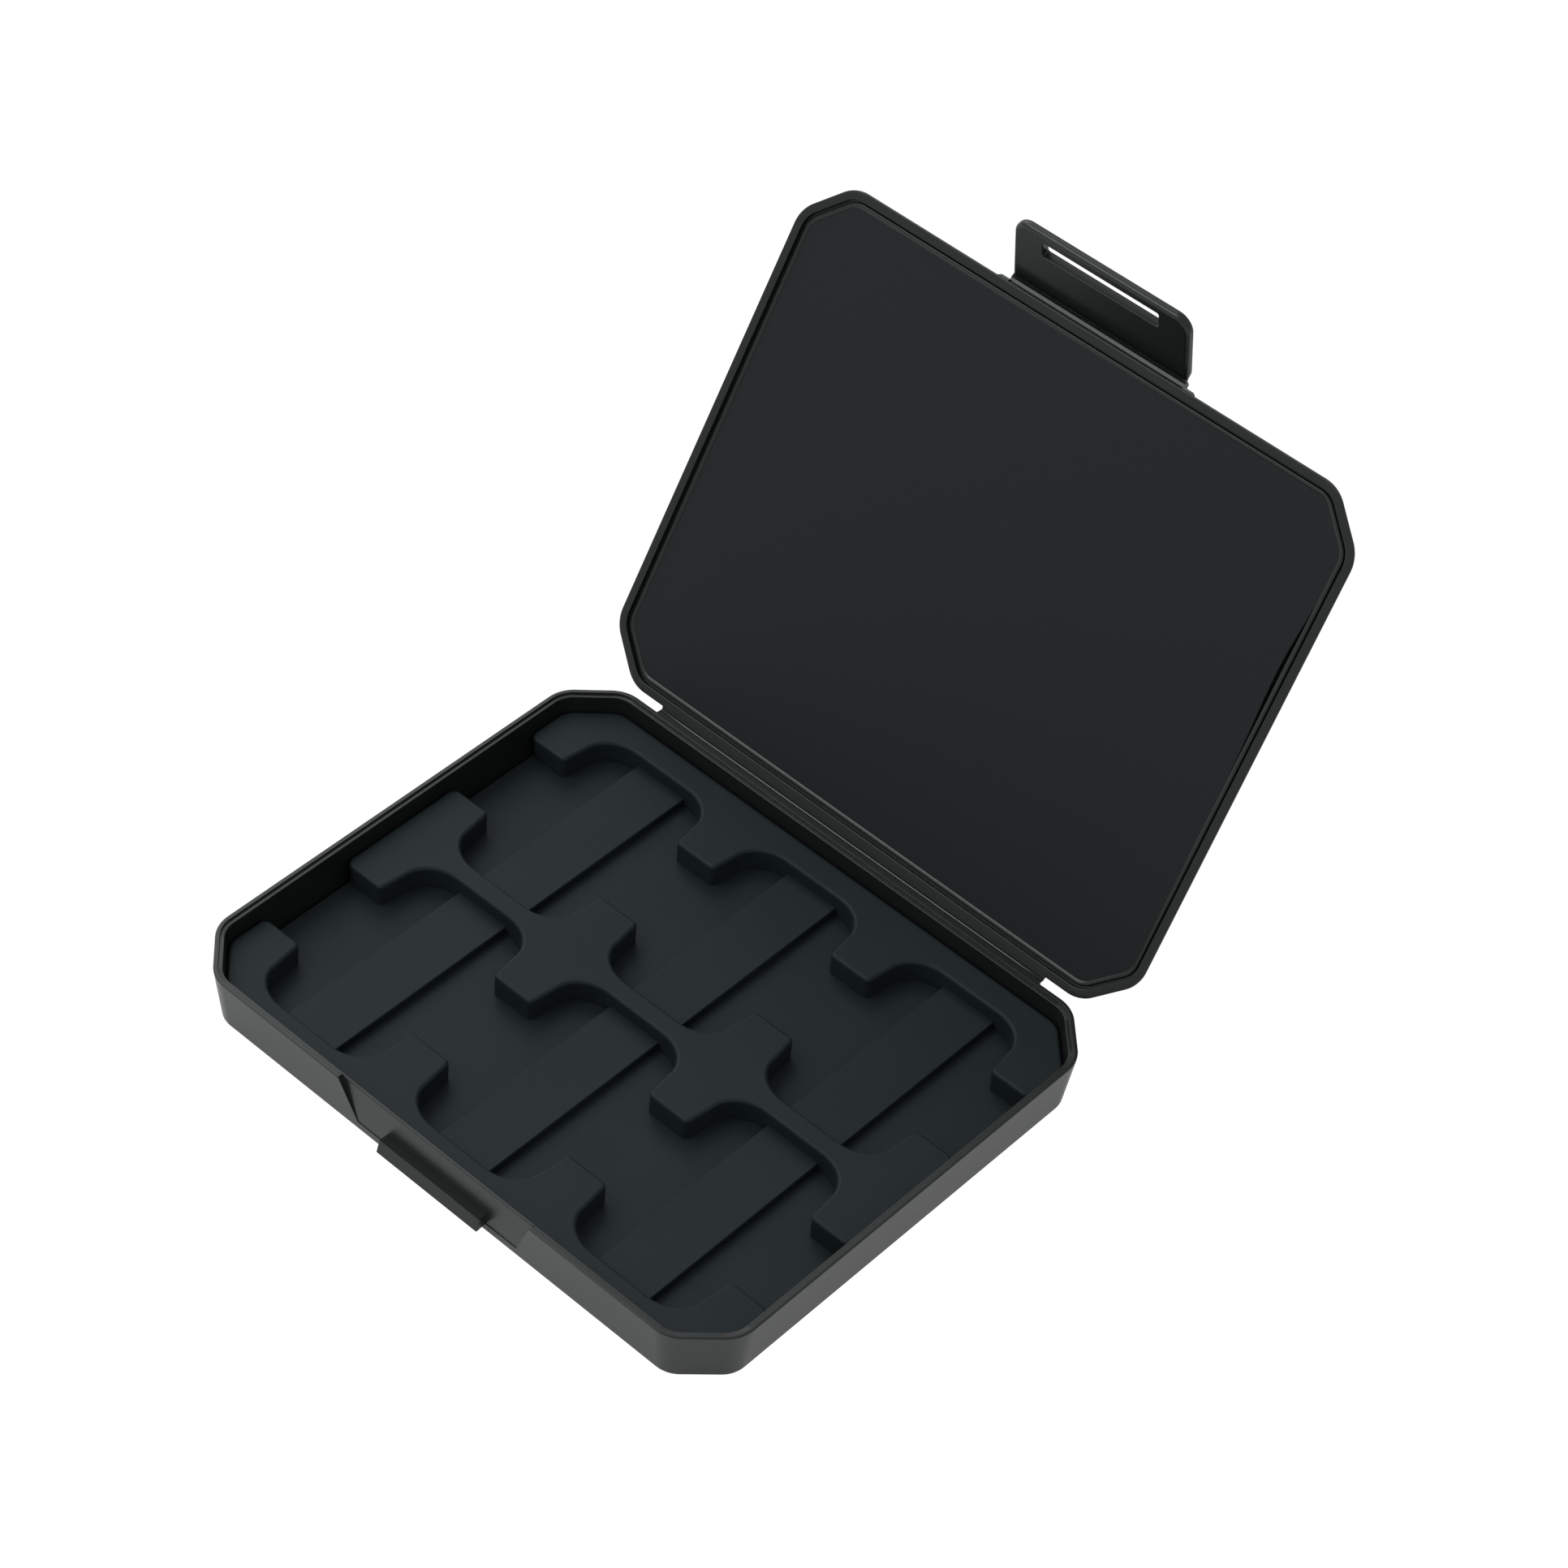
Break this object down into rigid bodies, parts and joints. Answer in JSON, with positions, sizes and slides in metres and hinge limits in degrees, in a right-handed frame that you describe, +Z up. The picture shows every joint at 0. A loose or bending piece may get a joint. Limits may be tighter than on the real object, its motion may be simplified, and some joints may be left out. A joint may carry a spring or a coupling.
{
  "type": "lens filter case",
  "caption": "Slim hinged plastic case with cut corners, open, holding a moulded pocket tray for small lens filters, a lined lid and a slotted snap latch.",
  "frame": {"origin": "on the surface that the case stands on, under the middle of the base's outline (the hinge strip and the catch left out)", "axes": "+Z up, +Y towards the hinge, +X to the right as seen from the latch side"},
  "size_m": [0.11, 0.1403, 0.1004],
  "materials": {
    "shell_plastic": "near-black satin with a fine moulded texture",
    "insert_plastic": "soft matte near-black with a cool tint",
    "liner_pad": "dense matte foam pad, almost black"
  },
  "bodies": {
    "base": {"base_shell": "shell_plastic", "pocket_insert": "insert_plastic"},
    "lid": {"lid_shell": "shell_plastic", "lid_liner": "liner_pad"},
    "latch": {"latch_flap": "shell_plastic"}
  },
  "joints": [
    {"name": "lid_hinge", "type": "hinge", "parent": "base", "child": "lid", "pos_m": [0, 0.0457, 0.01008], "axis": [-1, 0, 0], "range_deg": [-119.8, 60.2]},
    {"name": "latch_hinge", "type": "hinge", "parent": "lid", "child": "latch", "pos_m": [0, 0.09291, 0.08827], "axis": [1, 0, 0], "range_deg": [-38.5, 58.1]}
  ]
}
